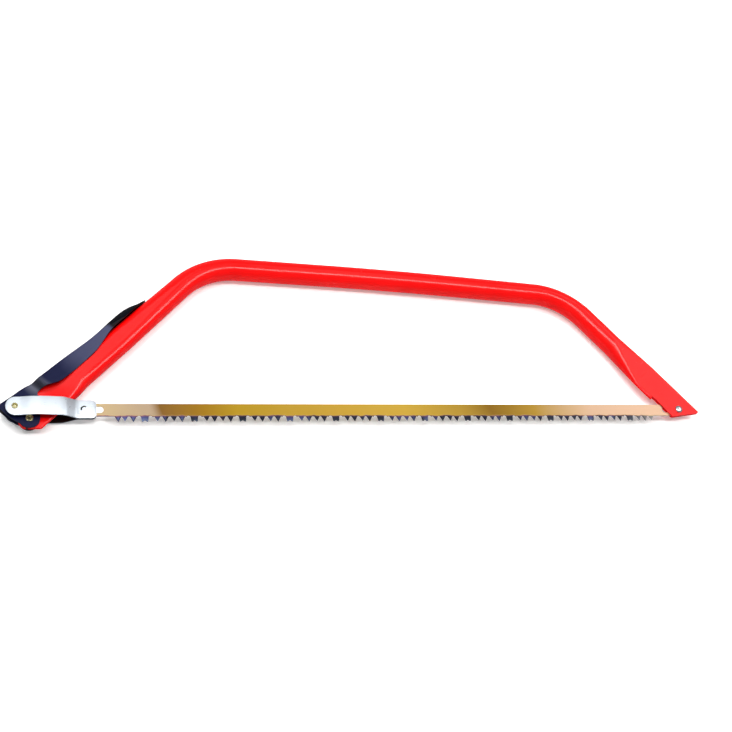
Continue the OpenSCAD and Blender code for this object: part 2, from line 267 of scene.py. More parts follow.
class Look:
    """A material under construction: its shader, its nodes and the links between them."""

    def __init__(self, name, **sockets):
        self.material = bpy.data.materials.new(name)
        self.material.use_nodes = True
        self.tree = self.material.node_tree
        self.shader = self.tree.nodes["Principled BSDF"]
        self.place = self.node("ShaderNodeTexCoord").outputs["Object"]
        for socket, value in sockets.items():
            self.shader.inputs[socket.replace("_", " ")].default_value = value

    def feed(self, socket, value):
        """Links an output to a socket, or sets the socket to a plain value."""
        if isinstance(value, bpy.types.NodeSocket):
            self.tree.links.new(value, socket)
        else:
            socket.default_value = value

    def node(self, kind, inputs=None, **settings):
        made = self.tree.nodes.new(kind)
        for key, value in settings.items():
            setattr(made, key, value)
        for key, value in (inputs or {}).items():
            self.feed(made.inputs[key], value)
        return made

    def set(self, socket, output):
        self.tree.links.new(output, self.shader.inputs[socket])

    def noise(self, scale, detail=2, stretch=None):
        place = self.place
        if stretch:
            place = self.node("ShaderNodeMapping", {"Vector": place, "Scale": stretch}).outputs[0]
        return self.node("ShaderNodeTexNoise", {
            "Vector": place, "Scale": scale, "Detail": detail}).outputs[0]

    def levels(self, value, low, high, start=0.0, end=1.0):
        return self.node("ShaderNodeMapRange", {
            "Value": value, "From Min": start, "From Max": end, "To Min": low,
            "To Max": high}).outputs[0]

    def colours(self, value, *stops):
        made = self.node("ShaderNodeValToRGB", {"Fac": value})
        ramp(made, *stops)
        return made.outputs[0]

    def mix(self, share, a, b):
        """One colour, and another in its place where share is 1."""
        made = self.node("ShaderNodeMix", data_type="RGBA")
        factor, first, second, mixed = 0, 6, 7, 2
        self.feed(made.inputs[factor], share)
        for index, colour in ((first, a), (second, b)):
            self.feed(made.inputs[index], (*colour, 1) if isinstance(colour, tuple) else colour)
        return made.outputs[mixed]

    def math(self, operation, a, b):
        return self.node("ShaderNodeMath", {0: a, 1: b}, operation=operation).outputs[0]

    def bump(self, height, strength, distance, under=None):
        inputs = {"Height": height, "Strength": strength, "Distance": distance}
        if under:
            inputs["Normal"] = under
        return self.node("ShaderNodeBump", inputs).outputs[0]

    def along(self, axis):
        return self.node("ShaderNodeSeparateXYZ", {"Vector": self.place}).outputs[axis]

    def upright(self):
        """The height of the surface's normal: 1 on the saw's front side, -1 behind."""
        normal = self.node("ShaderNodeTexCoord").outputs["Normal"]
        return self.node("ShaderNodeSeparateXYZ", {"Vector": normal}).outputs["Z"]


def tube_enamel():
    """Sprayed red enamel: slight colour drift, orange peel and fine dust in the surface."""
    look = Look("red_enamel", Coat_Weight=0.25, Coat_Roughness=0.04, Specular_IOR_Level=0.2)
    dark, light = (0.74, 0.001, 0.001), (0.84, 0.002, 0.002)
    look.set("Base Color", look.colours(look.noise(18, 3), (0.3, dark), (0.7, light)))
    wiped = look.noise(60, 4, (1, 1, 3))
    look.set("Roughness", look.levels(wiped, 0.176, 0.286, 0.3, 0.7))
    orange_peel = look.bump(look.noise(420, 1), 0.03, 0.3 * MM)
    dust = look.levels(look.noise(2600, 0), 0, 1, 0.72, 0.8)
    look.set("Normal", look.bump(dust, 0.04, 0.1 * MM, orange_peel))
    return look.material


def plated(name, light, dark, rough, drift_scale, brushed=(1, 1, 1), relief=0.04):
    """Plated metal: cloudy colour drift, fine rubbed lines and small pits."""
    look = Look(name, Metallic=1.0)
    look.set("Base Color", look.colours(look.noise(drift_scale, 4), (0.35, dark), (0.65, light)))
    lines = look.noise(500, 3, brushed)
    look.set("Roughness", look.levels(lines, rough * 0.75, rough * 1.35, 0.3, 0.7))
    pits = look.levels(look.noise(1500, 1), 0, 1, 0.25, 0.35)
    look.set("Normal", look.bump(pits, relief, 0.1 * MM, look.bump(lines, relief, 0.1 * MM)))
    return look.material


def lever_enamel():
    """Navy enamel: dull along the grip and black on the tongue. The grey along the grip is painted
    sheen, the light band at the joggle is a painted highlight, and the black round the edges is
    painted shade.
    """
    look = Look("navy_enamel", Coat_Weight=0.04, Coat_Roughness=0.05, Specular_IOR_Level=0.12)
    x = look.math("SUBTRACT", look.along("X"), JOINTS["lever_open"].x)
    y = look.math("SUBTRACT", look.along("Y"), JOINTS["lever_open"].y)
    along_leg = look.math("MULTIPLY", look.math("ADD", x, y), math.cos(math.radians(REAR_ANGLE)))
    drift = look.levels(look.noise(40, 2), -2.5 * MM, 2.5 * MM, 0.3, 0.7)
    along_leg = look.levels(look.math("ADD", along_leg, drift), 0, 1, -20 * MM, 170 * MM)
    navy, grey, black = (0.003, 0.005, 0.030), (0.050, 0.054, 0.105), (0.002, 0.002, 0.004)
    # Painted highlight: the light band at 0.245 sits on the joggle; the grey from 0.50 to 0.705 is
    # painted sheen on the grip's flat faces
    coat_with_painted_sheen = look.colours(
        along_leg, (0.0, navy), (0.20, navy), (0.245, (0.09, 0.095, 0.13)), (0.29, navy),
        (0.38, (0.004, 0.006, 0.032)), (0.50, (0.040, 0.044, 0.092)), (0.66, grey),
        (0.705, grey), (0.725, black), (1.0, black))
    # Painted shade: where the surface turns away from the flat faces, at the rounded edges, it is
    # painted black
    flat = look.levels(look.math("ABSOLUTE", look.upright(), 0), 0, 1, 0.72, 0.96)
    look.set("Base Color", look.mix(flat, black, coat_with_painted_sheen))
    look.set("Roughness", look.levels(along_leg, 0.34, 0.12, 0.69, 0.73))
    look.set("Normal", look.bump(look.noise(420, 1), 0.03, 0.3 * MM))
    return look.material


LIGHT_ZINC, DULL_ZINC = (0.80, 0.86, 0.92), (0.66, 0.73, 0.80)


def zinc_with_painted_shade():
    """The rear strap's zinc, with painted shade: its inner face, toward the blade, is painted
    nearly black for the shadow between the straps.
    """
    look = Look("zinc_with_painted_shade", Metallic=1.0)
    zinc_colour = look.colours(look.noise(8, 4), (0.35, DULL_ZINC), (0.65, LIGHT_ZINC))
    # Painted shade: faces whose normal points toward the blade are darkened nearly to black
    painted_shade_share = look.levels(look.upright(), 0, 1, 0.1, 0.5)
    look.set("Base Color", look.mix(painted_shade_share, zinc_colour, (0.022, 0.019, 0.020)))
    look.set("Roughness", look.levels(look.noise(120, 3), 0.3, 0.5, 0.3, 0.7))
    return look.material


def lacquered_blade():
    """Gold lacquer over rolled steel, with flame hardened teeth. Its light ends and dark bands
    along the blade are painted reflection.
    """
    look = Look("gold_lacquered_blade", Metallic=0.85, Coat_Weight=0.3, Coat_Roughness=0.12)
    along = look.levels(look.along("X"), 0, 1, ORIGIN.x, FRONT_PIN_AT.x)
    wander = look.noise(9, 1, (1, 2, 1))
    wandering = look.math("ADD", along, look.levels(wander, -0.012, 0.012, 0.3, 0.7))
    # Painted reflection: lighter over both ends and with two dark bands, as the flat blade mirrors
    # the bright and dim parts of the ceiling
    lacquer = look.colours(
        wandering, (0.0, (0.53, 0.39, 0.20)), (0.10, (0.46, 0.33, 0.21)),
        (0.113, (0.22, 0.095, 0.004)), (0.166, (0.37, 0.18, 0.004)), (0.23, (0.53, 0.32, 0.016)),
        (0.37, (0.60, 0.355, 0.036)), (0.50, (0.645, 0.395, 0.038)), (0.60, (0.48, 0.28, 0.02)),
        (0.655, (0.27, 0.135, 0.005)), (0.735, (0.44, 0.25, 0.018)), (0.80, (0.58, 0.37, 0.19)),
        (0.83, (0.64, 0.41, 0.26)), (1.0, (0.64, 0.41, 0.27)))
    cloud = look.noise(22, 2, (0.6, 1.5, 1))
    body = look.mix(look.levels(cloud, 0.0, 0.06, 0.4, 0.7), lacquer, (0.70, 0.50, 0.24))
    depth = look.levels(look.along("Y"), 0, 1, ORIGIN.y - HARD_FROM * MM,
                        ORIGIN.y - BLADE_TIP * MM)
    heat = look.math("ADD", depth, look.levels(look.noise(160, 3, (1, 0.5, 1)), -0.07, 0.07,
                                               0.3, 0.7))
    slate = look.colours(heat, (0.10, (0.72, 0.46, 0.12)), (0.20, (0.22, 0.10, 0.07)),
                         (0.30, (0.035, 0.028, 0.06)), (0.50, (0.010, 0.013, 0.024)),
                         (0.80, (0.025, 0.034, 0.055)), (1.0, (0.07, 0.085, 0.11)))
    blue = look.colours(heat, (0.10, (0.70, 0.44, 0.16)), (0.22, (0.24, 0.10, 0.16)),
                        (0.45, (0.07, 0.08, 0.24)), (1.0, (0.20, 0.26, 0.42)))
    pale = look.colours(heat, (0.10, (0.70, 0.50, 0.26)), (0.35, (0.24, 0.22, 0.20)),
                        (1.0, (0.42, 0.42, 0.42)))
    first_teeth = look.colours(along, (0.0, 0.9), (0.085, 0.9), (0.11, 0.0))
    last_teeth = look.colours(along, (0.90, 0.0), (0.95, 0.7))
    patches = look.levels(look.noise(55, 1, (1, 0.2, 1)), 0, 0.6, 0.56, 0.62)
    bluish = look.math("MAXIMUM", first_teeth, patches)
    hard = look.mix(last_teeth, look.mix(bluish, slate, blue), pale)
    hardened = look.levels(heat, 0, 1, 0.08, 0.2)
    look.set("Base Color", look.mix(hardened, body, hard))
    rolled = look.noise(900, 2, (0.06, 3, 1))
    look.set("Roughness", look.levels(rolled, 0.29, 0.31, 0.3, 0.7))
    return look.material


RED = tube_enamel()
NAVY = lever_enamel()
ZINC = plated("bright_zinc", LIGHT_ZINC, DULL_ZINC, 0.34, 8, (0.3, 3, 1), 0.008)
SHADED_ZINC = zinc_with_painted_shade()
RIVET = plated("yellow_passivated_steel", (0.72, 0.68, 0.42), (0.50, 0.46, 0.24), 0.22, 300)
STEEL = plated("bright_steel", (0.86, 0.87, 0.90), (0.66, 0.67, 0.70), 0.14, 200)
BLADE = lacquered_blade()


# ---- The tube's route ----

TUBE_R = 11
TUBE_WALL = 1.2
BEND_R = 75
ARCH_R = 5000
FRONT_ANGLE = 52
REAR_CORNER_Y = 156
BAR_MIDDLE = Vector((310, 148.5))
FRONT_CORNER_Y = 135
REAR_FLAT_B = 1.7
GRIP_B = 8.3
FRONT_FLAT_B = 1.9

PIVOT = in_saw_plane(JOINTS["lever_open"]).xy
LINK_PIN = in_saw_plane(JOINTS["link_swing"]).xy
FRONT_PIN = Vector((BLADE_SPAN, 0))
PIVOT_R, LINK_R, PIN_R, RUNNING = 2.4, 2.0, 2.85, 0.06
FRONT_PIN_INSET = 1.2
# The pressed rear leg widens outward only, so its inner edge stays this far from the pivot line
REAR_INNER_V = 13.8

rear_foot = PIVOT
front_foot = FRONT_PIN - FRONT_PIN_INSET * toward(270 - FRONT_ANGLE)
rear_corner = rear_foot + toward(REAR_ANGLE) * (
    (REAR_CORNER_Y - rear_foot.y) / math.sin(math.radians(REAR_ANGLE)))
front_corner = front_foot + toward(180 - FRONT_ANGLE) * (
    (FRONT_CORNER_Y - front_foot.y) / math.sin(math.radians(FRONT_ANGLE)))


def slope(a, b):
    return math.degrees(math.atan2(b.y - a.y, b.x - a.x))


rear_slope, front_slope = slope(rear_corner, BAR_MIDDLE), slope(BAR_MIDDLE, front_corner)
rear_turn, front_turn = REAR_ANGLE - rear_slope, FRONT_ANGLE + front_slope
arch_turn = rear_slope - front_slope


def tangent(radius, turn):
    return radius * math.tan(math.radians(turn / 2))


rear_leg_l = (rear_corner - rear_foot).length - tangent(BEND_R, rear_turn)
front_leg_l = (front_corner - front_foot).length - tangent(BEND_R, front_turn)


def half_width(b):
    """Half the width of a pressed section of the same girth, b being half its thickness."""
    return b + (TUBE_R - b) * math.pi / 2


def stretch(foot, angle, start, end, steps, turned):
    """Stations along a leg, from one place and half thickness to another: place on the route,
    heading and half thickness. The front leg is followed downward, so its heading is turned."""
    made = []
    for i in range(steps + 1):
        t = i / steps
        b = start[1] + (end[1] - start[1]) * t
        wider = 0 if turned else max(half_width(b) - REAR_INNER_V, 0)
        made.append((foot + toward(angle) * (start[0] + (end[0] - start[0]) * t)
                     + toward(angle + 90) * wider, angle + turned, b))
    return made


def bend_stations(start, heading, radius, angle, steps):
    centre = start + radius * toward(heading - 90)
    return [(centre + radius * toward(heading + 90 - angle * i / steps),
             heading - angle * i / steps, TUBE_R) for i in range(1, steps + 1)]


# How a leg is pressed: places along it from its pin, and half the tube's thickness there
REAR_PRESS = [(-12, REAR_FLAT_B), (27, REAR_FLAT_B), (60, GRIP_B), (116, GRIP_B),
              (rear_leg_l - 4, TUBE_R), (rear_leg_l, TUBE_R)]
FRONT_PRESS = [(front_leg_l, TUBE_R), (96, TUBE_R), (50, FRONT_FLAT_B), (-18, FRONT_FLAT_B)]
FINE_STEP, COARSE_STEP = 1.2, 12


def leg_stations(foot, angle, press, turned):
    """Stations from a leg's press, close together where the thickness changes."""
    made = []
    for start, end in zip(press, press[1:]):
        step = FINE_STEP if start[1] != end[1] else COARSE_STEP
        steps = max(2, round(abs(end[0] - start[0]) / step))
        made += stretch(foot, angle, start, end, steps, turned)[1 if made else 0:]
    return made


def route():
    made = leg_stations(rear_foot, REAR_ANGLE, REAR_PRESS, 0)
    made += bend_stations(rear_corner - toward(REAR_ANGLE) * tangent(BEND_R, rear_turn),
                          REAR_ANGLE, BEND_R, rear_turn, 40)
    made.append((BAR_MIDDLE - toward(rear_slope) * tangent(ARCH_R, arch_turn), rear_slope, TUBE_R))
    made += bend_stations(made[-1][0], rear_slope, ARCH_R, arch_turn, 16)
    made.append((front_corner - toward(front_slope) * tangent(BEND_R, front_turn), front_slope,
                 TUBE_R))
    made += bend_stations(made[-1][0], front_slope, BEND_R, front_turn, 40)
    return made + leg_stations(front_foot, 180 - FRONT_ANGLE, FRONT_PRESS, 180)[1:]


SECTION_POINTS = 112


def section(station, wall):
    """Points round a pressed tube: a slot shape, evenly spaced along its girth."""
    place, heading, b = station
    flat = half_width(b) - b
    girth = math.tau * TUBE_R
    across = toward(heading + 90)
    ring = []
    for i in range(SECTION_POINTS):
        s = (i + 0.5) / SECTION_POINTS * girth
        under = s > girth / 2
        s = s - girth / 2 if under else s
        if s < flat:
            side, height = s, b - wall
        elif s < flat + math.pi * b:
            turn = (s - flat) / b
            side, height = flat + (b - wall) * math.sin(turn), (b - wall) * math.cos(turn)
        else:
            side, height = flat - (s - flat - math.pi * b), wall - b
        if under:
            side, height = -side, -height
        point = place + across * side
        ring.append(Vector((point.x, point.y, height)))
    return ring


FAR = 60
RIVET_RELIEF = (16, 14)
REAR_END_R = 9.8
REAR_END_CUT = 8.6
NOTCH_CENTRE, NOTCH_R, NOTCH_MOUTH = (30, 15.6), 2.4, (24, 12.4)
CORNER_CENTRE, CORNER_R = (1, 10.5), 3
TIP_R = 2.2
TIP_CENTRE = (-14.5, TIP_R - half_width(FRONT_FLAT_B))


def build_tube():
    """The swept tube, with both ends cut to shape and drilled for their pins."""
    stations = route()
    tube = loft("frame_tube_shell", [section(s, 0) for s in stations],
                hollow=[section(s, TUBE_WALL) for s in stations])
    rear_cut = prism("rear_cut", [
        (RIVET_RELIEF[0], FAR), RIVET_RELIEF, *arc((0, 0), REAR_END_R, 110, 225), (-2, -FAR),
        (-FAR, -FAR), (-FAR, FAR)], -FAR, FAR, leg_frame(rear_foot, REAR_ANGLE))
    combine(tube, rear_cut, "DIFFERENCE")
    level = PIVOT.y - REAR_END_CUT
    under_cut = prism("under_cut", [(PIVOT.x - FAR, level), (PIVOT.x + FAR, level),
                                    (PIVOT.x + FAR, -FAR - 20), (PIVOT.x - FAR, -FAR - 20)],
                      -FAR, FAR)
    combine(tube, under_cut, "DIFFERENCE")
    drill(tube, (*PIVOT, 0), PIVOT_R + RUNNING)
    clear = half_width(FRONT_FLAT_B) + 1
    front_cut = prism("front_cut", [
        (NOTCH_CENTRE[0], clear), *arc(NOTCH_CENTRE, NOTCH_R, 180, 270), NOTCH_MOUTH,
        *arc(CORNER_CENTRE, CORNER_R, 90, 150), *arc(TIP_CENTRE, TIP_R, 160, 270, 24),
        (-14, -FAR), (-FAR, -FAR), (-FAR, FAR), (NOTCH_CENTRE[0], FAR)], -FAR, FAR,
        leg_frame(front_foot, 180 - FRONT_ANGLE))
    combine(tube, front_cut, "DIFFERENCE")
    drill(tube, (*FRONT_PIN, 0), PIN_R + RUNNING)
    return tube


settle(build_tube(), "frame", ["frame_tube"], RED, 38)


# ---- Tension lever ----

LEVER_T = 1.5
EAR_HALF = 3.5
GRIP_HALF = 10.2
EAR_R = 9.2
LEVER_L = 164.2
JOGGLE = (22, 34)
TONGUE_FROM, TONGUE_L = 133.2, 31.5
SPINE_ROUND = 1.2
TONGUE_ROUND_FROM, TONGUE_ROUND_GROWTH = 106, 0.3
SPINE = curve([(-7.5, 27.7), (4.5, 26.2), (17.4, 24.8), (32.2, 21.2), (61.2, 19.4), (88.2, 17.2),
               (104.2, 16.9), (120.2, 18.6), (135.2, 19.8), (146.2, 18.2), (155.2, 15.4),
               (164.2, 14)])
FLANGE = curve([(26.7, 12.8), (31, 11), (42.2, 5.6), (56.2, 4.2), (74.2, 4.1), (88.2, 4.8),
                (100.2, 7.3), (112.2, 10.2), (124.2, 11), (138.2, 10.8), (151.2, 11.8),
                (164.2, 12.5)])
NOSE_CENTRE, NOSE_R = Vector((-8.8, 25)), 2.5
EAR_NECK_CENTRE, EAR_NECK_R = (24.3, 10.2), 3
EAR_SHOULDER = [(-10.2, 5.8), (-11.2, 13), (-11.3, 21)]
# The sheet is closed behind only above this line, at the nose
BACK_OPEN_V, BACK_OPEN_U = 21, -8


def lever_half(u):
    """Half the lever's width: narrow ears, a joggle, the grip and a round tongue."""
    if u < TONGUE_FROM:
        return EAR_HALF + (GRIP_HALF - EAR_HALF) * ease((u - JOGGLE[0]) / (JOGGLE[1] - JOGGLE[0]))
    return GRIP_HALF * math.sqrt(max(1 - ((u - TONGUE_FROM) / TONGUE_L) ** 2, 0.0))


def lever_section(u, top, half, round_r, bottom=-40):
    """A section of the lever's outer or inner body: straight sides and a rounded top."""
    r = min(round_r, half * 0.95)
    points = [Vector((half, bottom)), *arc((half - r, top - r), r, 0, 90, 8),
              *arc((r - half, top - r), r, 90, 180, 8), Vector((-half, bottom))]
    return [Vector((u, p.y, p.x)) for p in points]


def lever_block(name, inset, start, end):
    """The lever filled in. Inset makes the shape of the room under its sheet."""
    top = [Vector((NOSE_CENTRE.x - NOSE_R * math.cos(a), NOSE_CENTRE.y + NOSE_R * math.sin(a)))
           for a in (math.radians(5 + 8 * i) for i in range(7))] + SPINE
    rings = []
    for p in top:
        half = lever_half(p.x) - inset
        if start <= p.x <= end and half > 0.2:
            round_r = SPINE_ROUND + max(p.x - TONGUE_ROUND_FROM, 0) * TONGUE_ROUND_GROWTH
            rings.append(lever_section(p.x, p.y - inset, half, max(round_r - inset, 0.4)))
    return loft(name, rings)


def build_lever():
    """One folded sheet: the outer body cut to its side outline, less the room under it."""
    lever = lever_block("tension_lever_sheet", 0, -50, LEVER_L + 1)
    room = lever_block("room", LEVER_T, -8.6, LEVER_L - 3)
    side = [*curve([(-12.5, 40), (LEVER_L + 0.4, 40)], 1), *FLANGE[::-1],
            *arc(EAR_NECK_CENTRE, EAR_NECK_R, 110, 200),
            *arc((0, 0), EAR_R, 165, 320, 48)[::-1], *curve(EAR_SHOULDER, 6),
            *arc(NOSE_CENTRE, NOSE_R, 190, 182, 2)]
    combine(lever, prism("side", side, -FAR, FAR), "INTERSECT")
    combine(lever, room, "DIFFERENCE")
    open_half = EAR_HALF - LEVER_T
    back_gap = prism("back_gap", [
        (-FAR, BACK_OPEN_V), (BACK_OPEN_U, BACK_OPEN_V), (BACK_OPEN_U, -FAR), (-FAR, -FAR)],
        -open_half, open_half)
    combine(lever, back_gap, "DIFFERENCE")
    lever.data.transform(leg_frame(PIVOT, REAR_ANGLE))
    drill(lever, (*PIVOT, 0), PIVOT_R + RUNNING)
    drill(lever, (*LINK_PIN, 0), LINK_R + RUNNING)
    fix_normals(lever)
    return lever


settle(build_lever(), "lever", ["tension_lever"], NAVY, 36)


# ---- Link straps ----

STRAP_HALF = 9
STRAP_T = 1.2
STRAP_HIGH = 7.2
STRAP_LOW = 0.7
STRAP_FROM, STRAP_TO = -68, 10.5
STRAP_CORNER = 4
STRAP_BOW = [(-120, STRAP_HIGH), (-56, STRAP_HIGH), (-46, 9.1), (-38, 9.2), (-20, 8.1),
             (-17.5, 7.4), (-7.5, 1.2), (-5.5, STRAP_LOW), (60, STRAP_LOW)]
BEND_SOFTNESS = 1.8
PEG_R = 2
PEG_LOW, PEG_HIGH = -0.65, 1.1
SLIT_W = 1.4


def strap_inner(x):
    """Height of the sheet's inner face, its bends rounded by averaging over a short run."""
    total = 0.0
    reach = 6
    for k in range(-reach, reach + 1):
        at = x + BEND_SOFTNESS * k / reach
        for (x0, z0), (x1, z1) in zip(STRAP_BOW, STRAP_BOW[1:]):
            if x0 <= at <= x1:
                total += z0 + (z1 - z0) * (at - x0) / (x1 - x0)
                break
    return total / (2 * reach + 1)


def strap_profile():
    """The sheet's inner face along X, closely spaced at both round ends."""
    steps = 180
    return [Vector((x, strap_inner(x))) for x in (
        (STRAP_FROM + STRAP_TO) / 2 - (STRAP_TO - STRAP_FROM) / 2 * math.cos(math.pi * i / steps)
        for i in range(steps + 1))]


def strap_reach(x):
    """Half the strap's height at a place along it."""
    if x < STRAP_FROM + STRAP_HALF:
        return math.sqrt(max(STRAP_HALF ** 2 - (STRAP_FROM + STRAP_HALF - x) ** 2, 0))
    over = x - (STRAP_TO - STRAP_CORNER)
    if over <= 0:
        return STRAP_HALF
    return STRAP_HALF - STRAP_CORNER + math.sqrt(max(STRAP_CORNER ** 2 - over ** 2, 0))


def build_strap(name, with_peg):
    """A sheet with rounded edges that follows the bow. The front one has the peg."""
    edge = 0.35
    rings = []
    points = strap_profile()
    last = len(points) - 1
    for k, p in enumerate(points):
        ahead = points[min(k + 1, last)] - points[max(k - 1, 0)]
        up = Vector((-ahead.y, ahead.x)).normalized()
        reach = max(strap_reach(p.x), 0.05 if k == 0 else 0.3)
        e = min(edge, reach * 0.9)
        ring = []
        for cx, cz, start in ((reach - e, STRAP_T - e, 0), (e - reach, STRAP_T - e, 90),
                              (e - reach, e, 180), (reach - e, e, 270)):
            for q in arc((cx, cz), e, start, start + 90, 4):
                ring.append(Vector((p.x + up.x * q.y, q.x, p.y + up.y * q.y)))
        rings.append(ring)
    strap = loft(name, rings)
    drill(strap, (*LINK_PIN, 0), LINK_R + RUNNING)
    if with_peg:
        slit = [*arc((0, 0), PEG_R + SLIT_W, 55, 205, 24), *arc((0, 0), PEG_R, 205, 55, 24)]
        combine(strap, prism("slit", slit, STRAP_LOW - 0.3, STRAP_LOW + STRAP_T + 0.3),
                "DIFFERENCE")
        low, high, soft = PEG_LOW, PEG_HIGH, 0.25
        peg = lathe("peg", [(0, low), (PEG_R - soft, low), (PEG_R, low + soft),
                            (PEG_R, high - soft), (PEG_R - soft, high), (0, high)], (0, 0, 0))
        combine(strap, peg, "UNION")
    else:
        strap.data.transform(Matrix.Scale(-1, 4, (0, 0, 1)))
        strap.data.flip_normals()
    return strap


settle(build_strap("link_front_strap_sheet", True), "link", ["link_front_strap"], ZINC,
       40)
# The rear strap's inner face carries painted shade
settle(build_strap("link_rear_strap_sheet", False), "link", ["link_rear_strap"], SHADED_ZINC,
       40)


# ---- Blade ----

BLADE_T = 0.8
BLADE_TOP = 6
BLADE_FROM = -12
BLADE_TO = BLADE_SPAN + 8
GROUP_PITCH = 45
RAKER_COUNT = 12
FIRST_RAKER = 53.5
CUTTER_OFFSETS = (11.25, 18.75, 26.25, 33.75)
LEAD_CUTTERS = (29.6, 35.6, 43.2)
LAST_CUTTERS = (9.9, 17.6, 24.3)
CUTTER_HALF = 3
RAKER_HALF = 5.2
TOOTH_SET = 0.3
FILED = 0.75
RAKER_GULLET_R, RAKER_GULLET_Y = 1.8, -BLADE_GULLET - 1.1
FISH_TAIL = [(-2.9, 0.8), (-2.2, 0), (0, 1.6), (2.2, 0), (2.9, 0.8)]
REAR_SLOT = (-6.6, 13.8, 3.3)
FRONT_SLOT = (BLADE_SPAN - 16, BLADE_SPAN, PIN_R + 0.1)


def cutter(x, side):
    """A tooth filed to a bevel on one face and set to the other side: plane points, and how far
    each moves on the front face and on the back face."""
    points = [(x - CUTTER_HALF, -BLADE_GULLET), (x, -BLADE_TIP), (x + CUTTER_HALF, -BLADE_GULLET)]
    moves = [(FILED, 0), (0, FILED * 1.9), (-FILED, 0)]
    rows = []
    for p, m, lift in zip(points, moves, (0, TOOTH_SET, 0)):
        filed = (p[0] + m[0], p[1] + m[1])
        front, behind = (filed, p) if side > 0 else (p, filed)
        rows.append((front, behind, -side * lift))
    return rows


def plain(points):
    """Points that are the same on both faces and have no set."""
    return [(tuple(p), tuple(p), 0) for p in points]


def raker(x):
    """A fish-tail between two deep round gullets."""
    gullets = [arc((x + side * RAKER_HALF, RAKER_GULLET_Y), RAKER_GULLET_R, 160, 20, 12)
               for side in (-1, 1)]
    tail = [(x + u, v - BLADE_TIP) for u, v in FISH_TAIL]
    return plain([*gullets[0], *tail, *gullets[1]])


def slot_outline(start, end, r):
    return [*arc((end, 0), r, 90, -90, 20), *arc((start, 0), r, 270, 90, 20)]


def inside(point, polygon):
    """Whether a point lies in a polygon: a ray from it crosses the polygon's edge an odd
    number of times."""
    odd = False
    for a, b in zip(polygon, polygon[1:] + polygon[:1]):
        if (a.y > point.y) != (b.y > point.y):
            if point.x < a.x + (b.x - a.x) * (point.y - a.y) / (b.y - a.y):
                odd = not odd
    return odd


def build_blade():
    """Two triangulated faces, joined round the outline and both slots. Each tooth's root is an
    edge of the faces, so that its bevel starts there."""
    rows, roots, side = [], [], 1
    rows += plain([(BLADE_FROM + 3.5, BLADE_TOP), (BLADE_FROM, BLADE_TOP - 3),
                   (BLADE_FROM, 2 - BLADE_GULLET), (BLADE_FROM + 2, -BLADE_GULLET)])

    def add(tooth):
        roots.append((len(rows), len(rows) + len(tooth) - 1))
        rows.extend(tooth)

    def add_cutters(places):
        nonlocal side
        for x in places:
            add(cutter(x, side))
            side = -side

    add_cutters(LEAD_CUTTERS)
    for k in range(RAKER_COUNT):
        x = FIRST_RAKER + GROUP_PITCH * k
        add(raker(x))
        add_cutters(x + o for o in (CUTTER_OFFSETS if k < RAKER_COUNT - 1 else LAST_CUTTERS))
    rows += plain([(BLADE_TO - 2, -BLADE_GULLET), (BLADE_TO, 2 - BLADE_GULLET),
                   (BLADE_TO, BLADE_TOP - 2), (BLADE_TO - 2, BLADE_TOP)])
    loops = [len(rows)]
    for slot in (REAR_SLOT, FRONT_SLOT):
        rows += plain(slot_outline(*slot))
        loops.append(len(rows))
    edges, start = [], 0
    for end in loops:
        edges += [(i, i + 1 if i + 1 < end else start) for i in range(start, end)]
        start = end
    flat = [Vector(((r[0][0] + r[1][0]) / 2, (r[0][1] + r[1][1]) / 2)) for r in rows]
    triangles = geometry.delaunay_2d_cdt(flat, edges + roots, [], 0, 1e-6)[2]
    outline = flat[:loops[0]]
    holes = [flat[loops[0]:loops[1]], flat[loops[1]:loops[2]]]

    kept = []
    for t in triangles:
        middle = (flat[t[0]] + flat[t[1]] + flat[t[2]]) / 3
        if inside(middle, outline) and not any(inside(middle, h) for h in holes):
            kept.append(tuple(t))
    n = len(rows)
    vertices = [(*r[0], BLADE_T / 2 + r[2]) for r in rows]
    vertices += [(*r[1], -BLADE_T / 2 + r[2]) for r in rows]
    faces = kept + [tuple(n + i for i in t[::-1]) for t in kept]
    faces += [(a, b, n + b, n + a) for a, b in edges]
    blade = new_object("toothed_blade", vertices, faces)
    fix_normals(blade)
    return blade


settle(build_blade(), "blade", ["saw_blade"], BLADE, 12)


# ---- Rivets, pin, ring, washers and spacer ----

PLAY = 0.05


def rivet_profile(shank_r, grip, head_r, head_h):
    """A low dome behind, and a rolled rim round a hollow in front."""
    seat, rim = grip + PLAY, head_r * 0.2
    dome = [(head_r * math.sin(a), -seat - head_h * math.cos(a))
            for a in (math.radians(90 * i / 14) for i in range(15))]
    lip = [(head_r - rim + rim * math.cos(a), seat + head_h * math.sin(a))
           for a in (math.radians(180 * i / 18) for i in range(19))]
    bottom, wall = seat - 1.2, head_r - 2 * rim
    round_in = [(wall - 0.4 + 0.4 * math.cos(a), bottom + 0.4 - 0.4 * math.sin(a))
                for a in (math.radians(90 * i / 5) for i in range(1, 6))]
    return [*dome, (shank_r, -seat), (shank_r, seat), *lip, (wall, bottom + 0.4), *round_in,
            (0, bottom)]


def rounded_ring(outer, inner, low, high, edge):
    corners = ((outer - edge, low + edge, -90), (outer - edge, high - edge, 0),
               (inner + edge, high - edge, 90), (inner + edge, low + edge, 180))
    return [tuple(p) for x, y, a in corners for p in arc((x, y), edge, a, a + 90, 5)]


